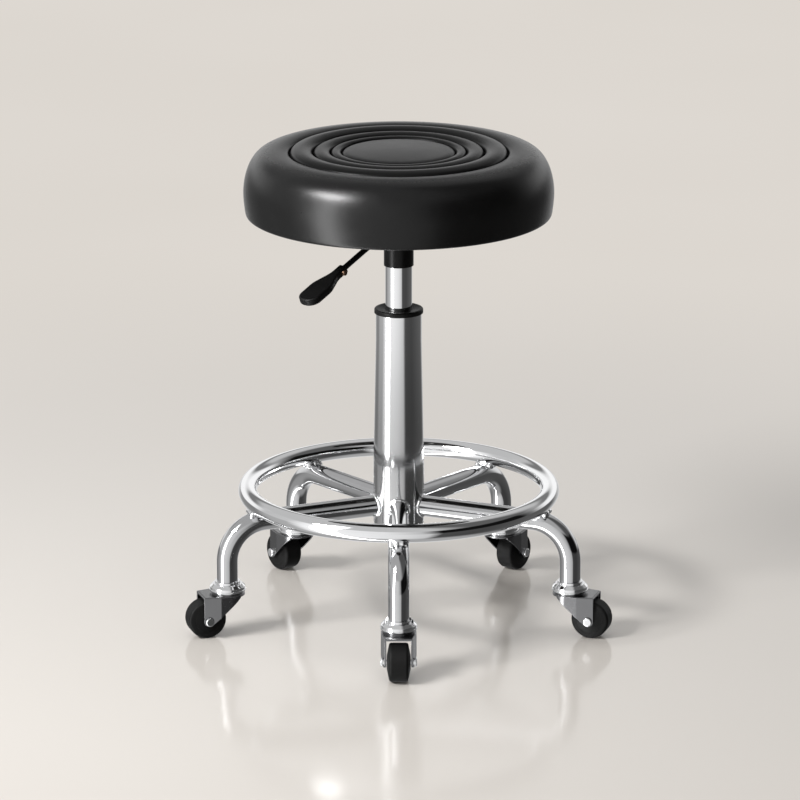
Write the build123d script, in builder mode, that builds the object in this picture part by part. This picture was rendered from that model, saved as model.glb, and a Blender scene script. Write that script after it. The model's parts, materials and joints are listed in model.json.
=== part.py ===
from build123d import *
import math
import os

# Adjustable swivel stool: a round upholstered seat on a gas lift, five bent tube legs,
# a foot ring and five swivel casters. Millimetres, +Z up, origin on the floor under the
# column's axis, front leg towards -Y. The seat stands lift_down above its lowest place.

# Fits
press_gap = 0.05
running_gap = 0.06
turn_gap = 0.3

# Casters, with the trail along each leg's outward direction
leg_count = 5
front_angle = -90
caster_circle = 188
caster_trail = 24
wheel_diameter = 40
tyre_width = 19
tyre_shoulder = 3
core_diameter = 27
core_width = 24.4
core_boss_diameter = 14
axle_diameter = 6
axle_head_diameter = 9
axle_head_height = 1.9
wheel_top_gap = 4
fork_sheet = 2
fork_front_radius = 18.3
fork_fold_reach = 12
fork_rear_reach = 5.3
fork_rear_width = 29.2
fork_end_radius = 5.5
fork_skirt_front = 10
fork_skirt_drop = 1
fork_edge_round = 1.6
boss_radius = 16.5
boss_height = 2.4
kingpin_diameter = 8
kingpin_head_diameter = 14
kingpin_head_height = 1.6
race_radius = 18.5
race_height = 7.3
race_rim = 0.5
race_rim_height = 1.4
race_shoulder = 3
stem_diameter = 11
stem_length = 22
socket_flange_diameter = 26.5
socket_flange_height = 2.5
socket_depth = 20

# Base frame
leg_tube = 22
leg_wall = 1.5
leg_rise = 61
leg_slope = 1.9
leg_bend = 42
ring_radius = 158.5
ring_tube = 19.6
ring_wall = 1.5
ring_lift = 0.5
weld_diameter = 14
hub_wall = 3
hub_height = 60
hub_lip_width = 4
hub_lip_height = 4

# Column, wider at its foot than at its mouth
column_below_leg = 8.5
column_length = 227.2
column_mouth_diameter = 48
column_foot_diameter = 53
column_wall = 1.5
column_mouth_length = 30
column_foot_length = 66
bushing_flange_diameter = 51
bushing_flange_height = 4.7
bushing_dish = 1.6
bushing_length = 70

# Gas lift
lift_down = 40
lift_up = 100
lift_gap = 46
cylinder_diameter = 28
cylinder_wall = 1.5
cylinder_lip = 1
cylinder_lip_height = 2
cylinder_cap = 6
taper_length = 34
taper_drop = 0.7
gland_height = 12
rod_diameter = 10
journal_diameter = 8
journal_tail = 2
base_plate_height = 4
clip_height = 1
clip_diameter = 14
clip_groove = 0.6
clip_mouth = 6
washer_diameter = 22
washer_height = 1.4
roller_count = 8
roller_diameter = 2.4
roller_length = 5
buffer_diameter = 20
buffer_height = 8
buffer_stop_gap = 3
piston_height = 8
piston_stop_gap = 2
piston_groove = 1.5
piston_spigot = 7
rivet_diameter = 10
rivet_height = 2.4

# Seat mechanism
socket_diameter = 31
socket_length = 52
slot_clearance = 1
plate_side = 150
plate_sheet = 2.5
plate_corner = 14
plate_lip = 10
plate_lip_length = 110
bolt_spacing = 110
bolt_diameter = 6
bolt_head = 10
bolt_head_height = 4
bolt_clearance = 0.3
lever_azimuth = 230
lever_droop = 21.2
lever_pivot_reach = 28
lever_pivot_drop = 15.5
lever_rod_diameter = 6
lever_inner_reach = 1.5
lever_grip_reach = 88
pivot_diameter = 3
pivot_head_diameter = 5
pivot_head_height = 1
bracket_sheet = 2
bracket_width = 11
bracket_side_gap = 0.5
paddle_length = 66
paddle_neck_width = 10
paddle_neck_length = 15
paddle_blade_start = 36
paddle_width = 25
paddle_thickness = 8
paddle_tip_round = 11.5
paddle_edge_round = 2
paddle_bore_depth = 20
screw_diameter = 3
screw_head_diameter = 6
screw_head_height = 3
screw_setback = 6
release_diameter = 6
release_collar_diameter = 9
release_collar_height = 2
release_tail = 8

# Seat
board_setback = 9
board_thickness = 12
cover_thickness = 1.5
cover_fold = 28
t_nut_flange_diameter = 18
t_nut_flange_height = 1.5
t_nut_barrel_diameter = 8
seat_diameter = 323
seat_foot_draw = 2.5
seat_foot_round = 3
seat_widest_height = 23
seat_shoulder_width = 23.7
seat_height = 65.7
disc_radius = 59
disc_rise = 1.4
disc_round = 4
roll_radii = (70.4, 88.7, 113)
roll_fullness = 0.21
margin_rise = 2
shoulder_rise = 0.8

# Heights worked out from the floor up
axle_height = wheel_diameter / 2
fork_under = wheel_diameter + wheel_top_gap
fork_top = fork_under + fork_sheet
boss_top = fork_top + boss_height
race_low = boss_top + turn_gap
race_top = race_low + race_height
leg_end = race_top + socket_flange_height
leg_corner = leg_end + leg_rise
leg_radius = leg_tube / 2
column_foot_radius = column_foot_diameter / 2
leg_run = caster_circle - column_foot_radius
leg_at_column = leg_corner + leg_run * math.tan(math.radians(leg_slope))
column_low = leg_at_column - leg_radius - column_below_leg
column_top = column_low + column_length
bushing_top = column_top + bushing_flange_height
base_plate_low = column_low + hub_lip_height
base_plate_top = base_plate_low + base_plate_height
bearing_height = 2 * washer_height + roller_diameter + 2 * press_gap
rod_low = base_plate_top + bearing_height + turn_gap
buffer_top = rod_low + buffer_height
cylinder_low = buffer_top + buffer_stop_gap + lift_down
gland_low = cylinder_low + cylinder_lip_height
piston_low = gland_low + gland_height + lift_up + piston_stop_gap
piston_top = piston_low + piston_height
socket_low = bushing_top + lift_gap
cylinder_top = socket_low + taper_length
plate_low = socket_low + socket_length
plate_top = plate_low + plate_sheet
board_low = plate_top + cover_thickness
board_top = board_low + board_thickness
groove_height = plate_top + seat_height
pivot_height = plate_low - lever_pivot_drop


def save(part, name):
    part.label = name
    export_step(part, f"parts/{name}.step")


os.makedirs("parts", exist_ok=True)
leg_places = PolarLocations(0, leg_count, front_angle).locations
caster_places = PolarLocations(caster_circle, leg_count, front_angle).locations

# Wheel: black core with a raised boss, and a tyre that carries its cone on to the tread
axle_plane = Plane((caster_trail, 0, axle_height))
axle_line = Axis((caster_trail, 0, axle_height), (0, 1, 0))
wheel_radius = wheel_diameter / 2
core_radius = core_diameter / 2
core_boss_radius = core_boss_diameter / 2


def wheel_half_width(radius):
    share = (radius - core_boss_radius) / (wheel_radius - core_boss_radius)
    return (core_width + (tyre_width - core_width) * share) / 2


with BuildPart() as caster_core:
    with BuildSketch(axle_plane):
        with BuildLine():
            core_edge = wheel_half_width(core_radius)
            Polyline(
                (axle_diameter / 2 + running_gap, -core_width / 2),
                (core_boss_radius, -core_width / 2),
                (core_radius, -core_edge),
                (core_radius, core_edge),
                (core_boss_radius, core_width / 2),
                (axle_diameter / 2 + running_gap, core_width / 2),
                close=True,
            )
        make_face()
    revolve(axis=axle_line)

with BuildPart() as caster_tyre:
    with BuildSketch(axle_plane) as tyre_section:
        with BuildLine():
            tyre_edge = wheel_half_width(core_radius + press_gap)
            Polyline(
                (core_radius + press_gap, -tyre_edge),
                (wheel_radius, -tyre_width / 2),
                (wheel_radius, tyre_width / 2),
                (core_radius + press_gap, tyre_edge),
                close=True,
            )
        make_face()
        fillet(tyre_section.vertices().group_by(Axis.X)[-1], tyre_shoulder)
    revolve(axis=axle_line)

# Fork: pressed from sheet, round over the stem, folded cheeks that close in towards the axle
fork_rear = caster_trail + fork_rear_reach
fork_low = axle_height - fork_end_radius


def draw_fork_plan():
    Circle(fork_front_radius)
    with Locations((fork_fold_reach / 2, 0)):
        Rectangle(fork_fold_reach, 2 * fork_front_radius)
    with Locations((fork_rear - fork_sheet / 2, 0)):
        Rectangle(fork_sheet, fork_rear_width)
    make_hull()


def cheek_half_width(reach):
    share = (reach - fork_fold_reach) / (fork_rear - fork_fold_reach)
    return fork_front_radius + (fork_rear_width / 2 - fork_front_radius) * share


with BuildPart() as caster_fork:
    with BuildSketch(Plane.XY.offset(fork_low)):
        draw_fork_plan()
    extrude(amount=fork_top - fork_low)
    fillet(caster_fork.edges().group_by(Axis.Z)[-1], fork_edge_round)
    with BuildSketch(Plane.XY.offset(fork_low)):
        draw_fork_plan()
        offset(amount=-fork_sheet)
        with Locations((fork_rear - fork_sheet, 0)):
            Rectangle(4 * fork_sheet, fork_rear_width - 2 * fork_sheet)
    extrude(amount=fork_under - fork_low, mode=Mode.SUBTRACT)
    with BuildSketch(Plane.XZ):
        with Locations((caster_trail, axle_height)):
            Circle(fork_end_radius)
        with Locations((-fork_skirt_front, fork_top)):
            Rectangle(
                fork_rear + fork_skirt_front,
                fork_sheet + fork_skirt_drop,
                align=(Align.MIN, Align.MAX),
            )
        make_hull()
        with Locations((-fork_front_radius, fork_top)):
            Rectangle(fork_rear + fork_front_radius, fork_sheet, align=(Align.MIN, Align.MAX))
    extrude(amount=2 * fork_front_radius, both=True, mode=Mode.INTERSECT)
    with Locations((0, 0, fork_top)):
        Cylinder(boss_radius, boss_height, align=(Align.CENTER, Align.CENTER, Align.MIN))
    with Locations((0, 0, fork_under)):
        Cylinder(
            boss_radius - fork_sheet,
            boss_height,
            align=(Align.CENTER, Align.CENTER, Align.MIN),
            mode=Mode.SUBTRACT,
        )
    with Locations((0, 0, fork_top)):
        Cylinder(kingpin_diameter / 2 + running_gap, 4 * boss_height, mode=Mode.SUBTRACT)
    with Locations(Location((caster_trail, 0, axle_height), (90, 0, 0))):
        Cylinder(axle_diameter / 2 + press_gap, 4 * fork_front_radius, mode=Mode.SUBTRACT)

# Axle, headed at both ends over the cheeks
head_start = cheek_half_width(caster_trail - axle_head_diameter / 2) + press_gap
with BuildPart() as caster_axle:
    with BuildSketch(axle_plane):
        Rectangle(axle_diameter / 2, 2 * head_start, align=(Align.MIN, Align.CENTER))
        for side in (-1, 1):
            with Locations((0, side * (head_start + axle_head_height / 2))):
                Rectangle(
                    axle_head_diameter / 2, axle_head_height, align=(Align.MIN, Align.CENTER)
                )
    revolve(axis=axle_line)
    head_rims = caster_axle.edges().filter_by(GeomType.CIRCLE).group_by(Axis.Y)
    fillet(head_rims[0] + head_rims[-1], axle_head_height / 2)

# Swivel race: pressed cup with its stem above and the riveted kingpin below
kingpin_head_top = fork_under + boss_height - turn_gap
with BuildPart() as caster_race:
    with BuildSketch(Plane.XZ):
        with BuildLine():
            Polyline(
                (0, kingpin_head_top - kingpin_head_height),
                (kingpin_head_diameter / 2, kingpin_head_top - kingpin_head_height),
                (kingpin_head_diameter / 2, kingpin_head_top),
                (kingpin_diameter / 2, kingpin_head_top),
                (kingpin_diameter / 2, race_low),
                (race_radius + race_rim, race_low),
                (race_radius + race_rim, race_low + race_rim_height),
                (race_radius, race_low + race_rim_height),
                (race_radius, race_top - race_shoulder),
                (race_radius - race_shoulder, race_top),
                (stem_diameter / 2, race_top),
                (stem_diameter / 2, race_top + stem_length),
                (0, race_top + stem_length),
                close=True,
            )
        make_face()
    revolve(axis=Axis.Z)

# Leg end insert that the stem is pushed into
with BuildPart() as leg_socket:
    with Locations((0, 0, race_top + press_gap)):
        Cylinder(
            socket_flange_diameter / 2,
            socket_flange_height - press_gap,
            align=(Align.CENTER, Align.CENTER, Align.MIN),
        )
    with Locations((0, 0, leg_end)):
        Cylinder(
            leg_radius - leg_wall - press_gap,
            socket_depth,
            align=(Align.CENTER, Align.CENTER, Align.MIN),
        )
    with Locations((0, 0, leg_end)):
        Cylinder(stem_diameter / 2 + press_gap, 3 * socket_depth, mode=Mode.SUBTRACT)

for number, place in enumerate(caster_places, start=1):
    save(caster_core.part.moved(place), f"caster_core_{number}")
    save(caster_tyre.part.moved(place), f"caster_tyre_{number}")
    save(caster_fork.part.moved(place), f"caster_fork_{number}")
    save(caster_axle.part.moved(place), f"caster_axle_{number}")
    save(caster_race.part.moved(place), f"caster_race_{number}")

with BuildPart() as leg_sockets:
    for place in caster_places:
        add(leg_socket.part.moved(place))
save(leg_sockets.part, "leg_sockets")


# Legs: one bent tube each, coped to the column, nearly level out to the bend and then upright
def swept_leg(outer_radius, inner_radius):
    with BuildPart() as tube:
        with BuildLine(Plane.XZ) as route:
            inner_reach = column_foot_radius / 2
            fall = (caster_circle - inner_reach) * math.tan(math.radians(leg_slope))
            FilletPolyline(
                (inner_reach, leg_corner + fall),
                (caster_circle, leg_corner),
                (caster_circle, leg_end),
                radius=leg_bend,
            )
        with BuildSketch(Plane(origin=route.line @ 0, z_dir=route.line % 0)):
            Circle(outer_radius)
            if inner_radius > 0:
                Circle(inner_radius, mode=Mode.SUBTRACT)
        sweep(path=route.line)
        with Locations((0, 0, leg_at_column)):
            Cylinder(column_foot_radius + press_gap, 4 * leg_tube, mode=Mode.SUBTRACT)
    return tube.part


leg = swept_leg(leg_radius, leg_radius - leg_wall)
for number, place in enumerate(leg_places, start=1):
    save(leg.moved(place), f"leg_{number}")

# Foot ring: it rests on the legs through a weld bead at each crossing
bend_turn = math.radians(90 - leg_slope)
bend_centre_reach = caster_circle - leg_bend
bend_centre_height = leg_corner - leg_bend * math.tan(bend_turn / 2)


def leg_top(reach):
    if reach > bend_centre_reach:
        rim = leg_bend + leg_radius
        return bend_centre_height + math.sqrt(rim**2 - (reach - bend_centre_reach) ** 2)
    rise = (caster_circle - reach) * math.tan(math.radians(leg_slope))
    return leg_corner + rise + leg_radius / math.cos(math.radians(leg_slope))


ring_height = leg_top(ring_radius) + ring_lift + ring_tube / 2

with BuildPart() as foot_ring:
    with BuildSketch(Plane.XZ):
        with Locations((ring_radius, ring_height)):
            Circle(ring_tube / 2)
            Circle(ring_tube / 2 - ring_wall, mode=Mode.SUBTRACT)
    revolve(axis=Axis.Z)
save(foot_ring.part, "foot_ring")

with BuildPart() as weld_bead:
    with Locations((ring_radius, 0, ring_height)):
        Cylinder(
            weld_diameter / 2, ring_tube + ring_lift, align=(Align.CENTER, Align.CENTER, Align.MAX)
        )
    add(swept_leg(leg_radius + press_gap, 0), mode=Mode.SUBTRACT)
    with BuildSketch(Plane.XZ):
        with Locations((ring_radius, ring_height)):
            Circle(ring_tube / 2 + press_gap)
    revolve(axis=Axis.Z, mode=Mode.SUBTRACT)

with BuildPart() as ring_welds:
    for place in leg_places:
        add(weld_bead.part.moved(place))
save(ring_welds.part, "ring_welds")

# Hub: the sleeve that stiffens the column's foot, with a lip that carries the base plate
column_foot_bore = column_foot_radius - column_wall
hub_radius = column_foot_bore - press_gap
hub_bore = hub_radius - hub_wall
column_mouth_bore = column_mouth_diameter / 2 - column_wall

with BuildPart() as base_hub:
    with BuildSketch(Plane.XZ):
        with BuildLine():
            Polyline(
                (hub_bore - hub_lip_width, column_low),
                (hub_radius, column_low),
                (hub_radius, column_low + hub_height),
                (hub_bore, column_low + hub_height),
                (hub_bore, base_plate_low),
                (hub_bore - hub_lip_width, base_plate_low),
                close=True,
            )
        make_face()
    revolve(axis=Axis.Z)
save(base_hub.part, "base_hub")

# Column: tapered tube with a straight mouth and a straight foot that the legs are welded to
with BuildPart() as column:
    with BuildSketch(Plane.XZ):
        with BuildLine():
            Polyline(
                (column_foot_bore, column_low),
                (column_foot_radius, column_low),
                (column_foot_radius, column_low + column_foot_length),
                (column_mouth_diameter / 2, column_top - column_mouth_length),
                (column_mouth_diameter / 2, column_top),
                (column_mouth_bore, column_top),
                (column_mouth_bore, column_top - column_mouth_length),
                (column_foot_bore, column_low + column_foot_length),
                close=True,
            )
        make_face()
    revolve(axis=Axis.Z)
save(column.part, "column")

# Guide bushing: a long sleeve for the gas cylinder under a dished flange
cylinder_radius = cylinder_diameter / 2
with BuildPart() as column_bushing:
    with BuildSketch(Plane.XZ) as bushing_section:
        with BuildLine():
            Polyline(
                (cylinder_radius + running_gap, column_top - bushing_length),
                (column_mouth_bore - press_gap, column_top - bushing_length),
                (column_mouth_bore - press_gap, column_top),
                (bushing_flange_diameter / 2, column_top),
                (bushing_flange_diameter / 2, bushing_top),
                (column_mouth_bore, bushing_top),
                (cylinder_radius + running_gap, bushing_top - bushing_dish),
                close=True,
            )
        make_face()
        flange_rim = bushing_section.vertices().group_by(Axis.X)[-1].sort_by(Axis.Y)
        fillet(flange_rim[-1], bushing_flange_height / 3)
    revolve(axis=Axis.Z)
save(column_bushing.part, "column_bushing")

# Foot of the lift: plate in the hub, thrust bearing and rubber buffer
with BuildPart() as column_base_plate:
    with Locations((0, 0, base_plate_low)):
        Cylinder(
            hub_bore - press_gap,
            base_plate_height,
            align=(Align.CENTER, Align.CENTER, Align.MIN),
        )
    with Locations((0, 0, base_plate_low)):
        Cylinder(journal_diameter / 2 + running_gap, 4 * base_plate_height, mode=Mode.SUBTRACT)
save(column_base_plate.part, "column_base_plate")

washer_bore = journal_diameter / 2 + turn_gap
upper_washer_low = base_plate_top + bearing_height - washer_height
with BuildPart() as thrust_bearing:
    for washer_low in (base_plate_top, upper_washer_low):
        with BuildSketch(Plane.XY.offset(washer_low)):
            Circle(washer_diameter / 2)
            Circle(washer_bore, mode=Mode.SUBTRACT)
        extrude(amount=washer_height)
    roller_height = base_plate_top + washer_height + press_gap + roller_diameter / 2
    with Locations((0, 0, roller_height)):
        with PolarLocations((washer_bore + washer_diameter / 2) / 2, roller_count):
            Cylinder(roller_diameter / 2, roller_length, rotation=(0, 90, 0))
save(thrust_bearing.part, "thrust_bearing")

rod_radius = rod_diameter / 2
with BuildPart() as rubber_buffer:
    with BuildSketch(Plane.XY.offset(rod_low)):
        Circle(buffer_diameter / 2)
        Circle(rod_radius + press_gap, mode=Mode.SUBTRACT)
    extrude(amount=buffer_height)
save(rubber_buffer.part, "rubber_buffer")

# Piston rod: journal and clip groove below, shoulder on the bearing, riveted spigot above
clip_top = base_plate_low - turn_gap
clip_low = clip_top - clip_height
groove_radius = journal_diameter / 2 - clip_groove
with BuildPart() as piston_rod:
    with BuildSketch(Plane.XZ):
        with BuildLine():
            Polyline(
                (0, clip_low - journal_tail),
                (journal_diameter / 2, clip_low - journal_tail),
                (journal_diameter / 2, clip_low - press_gap),
                (groove_radius, clip_low - press_gap),
                (groove_radius, clip_top + press_gap),
                (journal_diameter / 2, clip_top + press_gap),
                (journal_diameter / 2, rod_low),
                (rod_radius, rod_low),
                (rod_radius, piston_low),
                (piston_spigot / 2, piston_low),
                (piston_spigot / 2, piston_top + press_gap),
                (rivet_diameter / 2, piston_top + press_gap),
                (rivet_diameter / 2, piston_top + rivet_height),
                (0, piston_top + rivet_height),
                close=True,
            )
        make_face()
    revolve(axis=Axis.Z)
save(piston_rod.part, "piston_rod")

with BuildPart() as rod_clip:
    with BuildSketch(Plane.XY.offset(clip_low)):
        Circle(clip_diameter / 2)
        Circle(groove_radius + press_gap, mode=Mode.SUBTRACT)
        with Locations((clip_diameter / 2, 0)):
            Rectangle(clip_diameter, clip_mouth, mode=Mode.SUBTRACT)
    extrude(amount=clip_height)
save(rod_clip.part, "rod_clip")

cylinder_bore = cylinder_radius - cylinder_wall
with BuildPart() as piston:
    with BuildSketch(Plane.XY.offset(piston_low)):
        Circle(cylinder_bore - running_gap)
        Circle(piston_spigot / 2 + press_gap, mode=Mode.SUBTRACT)
    extrude(amount=piston_height)
    with BuildSketch(Plane.XY.offset(piston_low + piston_height / 3)):
        Circle(cylinder_bore)
        Circle(cylinder_bore - running_gap - piston_groove, mode=Mode.SUBTRACT)
    extrude(amount=piston_height / 3, mode=Mode.SUBTRACT)
save(piston.part, "piston")

# Gas cylinder: rolled lip below, tapered head above, bored for the release pin
release_radius = release_diameter / 2
taper_radius = cylinder_radius - taper_drop
with BuildPart() as gas_cylinder:
    with BuildSketch(Plane.XZ):
        with BuildLine():
            Polyline(
                (cylinder_bore - cylinder_lip, cylinder_low),
                (cylinder_radius, cylinder_low),
                (cylinder_radius, socket_low),
                (taper_radius, cylinder_top),
                (release_radius + running_gap, cylinder_top),
                (release_radius + running_gap, cylinder_top - cylinder_cap),
                (taper_radius - cylinder_wall, cylinder_top - cylinder_cap),
                (cylinder_bore, socket_low),
                (cylinder_bore, gland_low),
                (cylinder_bore - cylinder_lip, gland_low),
                close=True,
            )
        make_face()
    revolve(axis=Axis.Z)
save(gas_cylinder.part, "gas_cylinder")

with BuildPart() as cylinder_gland:
    with BuildSketch(Plane.XY.offset(gland_low)):
        Circle(cylinder_bore - press_gap)
        Circle(rod_radius + running_gap, mode=Mode.SUBTRACT)
    extrude(amount=gland_height)
save(cylinder_gland.part, "cylinder_gland")

# Lever: straight rod through a bracket, its inner end over the release pin
droop = math.radians(lever_droop)
lever_radius = lever_rod_diameter / 2
lever_place = Location((0, 0, 0), (0, 0, lever_azimuth))
lever_line = Vector(math.cos(droop), 0, -math.sin(droop))


def lever_height(reach):
    return pivot_height + (lever_pivot_reach - reach) * math.tan(droop)


grip_start = Vector(lever_grip_reach, 0, lever_height(lever_grip_reach))
inner_end = Vector(-lever_inner_reach, 0, lever_height(-lever_inner_reach))
rod_end = grip_start + lever_line * (paddle_bore_depth - press_gap)
pivot_line = Location((lever_pivot_reach, 0, pivot_height), (90, 0, 0))

with BuildPart() as lever_rod:
    with BuildSketch(Plane(origin=inner_end, x_dir=(0, 1, 0), z_dir=lever_line)):
        Circle(lever_radius)
    extrude(amount=(rod_end - inner_end).length)
    chamfer(lever_rod.edges().filter_by(GeomType.CIRCLE), lever_radius / 4)
    with Locations(pivot_line):
        Cylinder(pivot_diameter / 2 + running_gap, 2 * lever_rod_diameter, mode=Mode.SUBTRACT)
save(lever_rod.part.moved(lever_place), "lever_rod")

# Paddle: flat blade that narrows to a neck round the rod, clamped by a cross screw
paddle_up = (math.sin(droop), 0, math.cos(droop))
paddle_plane = Plane(origin=grip_start, x_dir=lever_line, z_dir=paddle_up)
screw_spot = grip_start + lever_line * screw_setback + Vector(0, paddle_neck_width / 2, 0)
screw_depth = paddle_neck_width / 2 - lever_radius - press_gap

with BuildPart() as lever_paddle:
    with BuildSketch(paddle_plane) as paddle_outline:
        with BuildLine():
            Polyline(
                (0, -paddle_neck_width / 2),
                (paddle_neck_length, -paddle_neck_width / 2),
                (paddle_blade_start, -paddle_width / 2),
                (paddle_length, -paddle_width / 2),
                (paddle_length, paddle_width / 2),
                (paddle_blade_start, paddle_width / 2),
                (paddle_neck_length, paddle_neck_width / 2),
                (0, paddle_neck_width / 2),
                close=True,
            )
        make_face()
        outline_corners = paddle_outline.vertices().group_by(Axis.X)
        fillet(outline_corners[1] + outline_corners[2], paddle_width)
        fillet(paddle_outline.vertices().group_by(Axis.X)[-1], paddle_tip_round)
    extrude(amount=paddle_thickness / 2, both=True)
    blade_faces = lever_paddle.faces().sort_by(Axis(grip_start, paddle_up))
    blade_rims = blade_faces[0].edges() + blade_faces[-1].edges()
    fillet(blade_rims.sort_by(Axis(grip_start, lever_line))[2:], paddle_edge_round)
    with BuildSketch(Plane(origin=grip_start, x_dir=(0, 1, 0), z_dir=lever_line)):
        Circle(lever_radius + press_gap)
    extrude(amount=paddle_bore_depth, mode=Mode.SUBTRACT)
    with BuildSketch(Plane(origin=screw_spot, x_dir=lever_line, z_dir=(0, -1, 0))):
        Circle(screw_diameter / 2 + press_gap)
    extrude(amount=paddle_neck_width / 2, mode=Mode.SUBTRACT)
save(lever_paddle.part.moved(lever_place), "lever_paddle")

with BuildPart() as paddle_screw:
    with BuildSketch(Plane(origin=screw_spot, x_dir=lever_line, z_dir=(0, -1, 0))):
        Circle(screw_diameter / 2)
    extrude(amount=screw_depth)
    with BuildSketch(Plane(origin=screw_spot, x_dir=lever_line, z_dir=(0, 1, 0))):
        Circle(screw_head_diameter / 2)
    extrude(amount=screw_head_height)
    fillet(paddle_screw.edges().group_by(Axis.Y)[-1], screw_head_height / 3)
save(paddle_screw.part.moved(lever_place), "paddle_screw")

# Lever bracket: two ears bent down from a tab under the seat plate, and the pivot between them
ear_inside = lever_radius + bracket_side_gap
ear_outside = ear_inside + bracket_sheet
with BuildPart() as lever_bracket:
    with BuildSketch(Plane.XZ):
        with Locations((lever_pivot_reach, pivot_height)):
            Circle(bracket_width / 2)
            Rectangle(bracket_width, lever_pivot_drop, align=(Align.CENTER, Align.MIN))
    extrude(amount=ear_outside, both=True)
    with Locations((lever_pivot_reach, 0, plate_low - bracket_sheet)):
        Box(
            2 * bracket_width,
            2 * ear_inside,
            4 * lever_pivot_drop,
            align=(Align.CENTER, Align.CENTER, Align.MAX),
            mode=Mode.SUBTRACT,
        )
    with Locations(pivot_line):
        Cylinder(pivot_diameter / 2 + press_gap, 4 * ear_outside, mode=Mode.SUBTRACT)
save(lever_bracket.part.moved(lever_place), "lever_bracket")

with BuildPart() as lever_pivot:
    with Locations(pivot_line):
        Cylinder(pivot_diameter / 2, 2 * ear_outside)
        for side in (-1, 1):
            with Locations((0, 0, side * (ear_outside + pivot_head_height / 2))):
                Cylinder(pivot_head_diameter / 2, pivot_head_height)
save(lever_pivot.part.moved(lever_place), "lever_pivot")

# Release pin: domed head under the lever, collar held inside the cylinder's cap
dome_drop = (release_radius + lever_radius + turn_gap) / math.cos(droop)
dome_height = lever_height(0) - dome_drop
collar_top = cylinder_top - cylinder_cap - turn_gap
collar_low = collar_top - release_collar_height
with BuildPart() as release_pin:
    with BuildSketch(Plane.XZ):
        with BuildLine():
            dome = CenterArc((0, dome_height), release_radius, 0, 90)
            Polyline(
                dome @ 1,
                (0, collar_low - release_tail),
                (release_radius, collar_low - release_tail),
                (release_radius, collar_low),
                (release_collar_diameter / 2, collar_low),
                (release_collar_diameter / 2, collar_top),
                (release_radius, collar_top),
                dome @ 0,
            )
        make_face()
    revolve(axis=Axis.Z)
save(release_pin.part, "release_pin")

# Lift socket: taper bore for the cylinder's head, slotted where the lever comes in
with BuildPart() as lift_socket:
    with BuildSketch(Plane.XZ):
        with BuildLine():
            Polyline(
                (cylinder_radius + press_gap, socket_low),
                (socket_diameter / 2, socket_low),
                (socket_diameter / 2, plate_low),
                (taper_radius + press_gap, plate_low),
                (taper_radius + press_gap, cylinder_top),
                close=True,
            )
        make_face()
    revolve(axis=Axis.Z)
    with Locations(lever_place):
        with Locations((0, 0, cylinder_top)):
            Box(
                socket_diameter,
                lever_rod_diameter + 2 * slot_clearance,
                2 * socket_length,
                align=(Align.MIN, Align.CENTER, Align.MIN),
                mode=Mode.SUBTRACT,
            )
save(lift_socket.part, "lift_socket")

# Seat plate: pressed sheet with two stiffening lips, bolted up into the board
bolt_places = GridLocations(bolt_spacing, bolt_spacing, 2, 2)
bolt_hole = bolt_diameter / 2 + bolt_clearance
with BuildPart() as seat_plate:
    with BuildSketch(Plane.XY.offset(plate_low)):
        RectangleRounded(plate_side, plate_side, plate_corner)
        with bolt_places:
            Circle(bolt_hole, mode=Mode.SUBTRACT)
    extrude(amount=plate_sheet)
    with BuildSketch(Plane.XY.offset(plate_low)):
        with GridLocations(plate_side - plate_sheet, 0, 2, 1):
            Rectangle(plate_sheet, plate_lip_length)
    extrude(amount=-plate_lip)
save(seat_plate.part, "seat_plate")

t_nut_flange_low = board_top - t_nut_flange_height - press_gap
with BuildPart() as plate_bolts:
    with BuildSketch(Plane.XY.offset(plate_low)):
        with bolt_places:
            RegularPolygon(bolt_head / 2, 6, major_radius=False)
    extrude(amount=-bolt_head_height)
    with BuildSketch(Plane.XY.offset(plate_low)):
        with bolt_places:
            Circle(bolt_diameter / 2)
    extrude(amount=t_nut_flange_low - plate_low)
save(plate_bolts.part, "plate_bolts")

with BuildPart() as t_nuts:
    with BuildSketch(Plane.XY.offset(t_nut_flange_low)):
        with bolt_places:
            Circle(t_nut_flange_diameter / 2)
    extrude(amount=t_nut_flange_height)
    with BuildSketch(Plane.XY.offset(board_low)):
        with bolt_places:
            Circle(t_nut_barrel_diameter / 2)
    extrude(amount=t_nut_flange_low - board_low)
    with BuildSketch(Plane.XY.offset(board_low)):
        with bolt_places:
            Circle(bolt_diameter / 2 + press_gap)
    extrude(amount=board_thickness, mode=Mode.SUBTRACT)
save(t_nuts.part, "t_nuts")

# Seat board with counterbored seats for the nuts, set back from the cushion's foot
seat_radius = seat_diameter / 2
foot_radius = seat_radius - seat_foot_draw
board_radius = foot_radius - board_setback
with BuildPart() as seat_board:
    with BuildSketch(Plane.XY.offset(board_low)):
        Circle(board_radius)
        with bolt_places:
            Circle(t_nut_barrel_diameter / 2 + press_gap, mode=Mode.SUBTRACT)
    extrude(amount=board_thickness)
    with BuildSketch(Plane.XY.offset(t_nut_flange_low - press_gap)):
        with bolt_places:
            Circle(t_nut_flange_diameter / 2 + press_gap)
    extrude(amount=board_thickness, mode=Mode.SUBTRACT)
save(seat_board.part, "seat_board")

# Cushion: flat middle disc, three rolls, a margin, full shoulders and sides drawn in below
widest_height = plate_top + seat_widest_height
shoulder_reach = seat_radius - seat_shoulder_width
shoulder_top = groove_height + shoulder_rise
fold_radius = foot_radius - cover_fold


def cushion_core(inset):
    core_top = groove_height - inset
    with BuildSketch(Plane.XZ) as section:
        with BuildLine():
            shoulder = EllipticalCenterArc(
                (shoulder_reach, widest_height),
                seat_shoulder_width - inset,
                core_top - widest_height,
                start_angle=0,
                arc_size=90,
            )
            Polyline(
                shoulder @ 1,
                (0, core_top),
                (0, board_low),
                (foot_radius - inset, board_low),
                shoulder @ 0,
            )
        make_face()
    return section.sketch


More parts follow.
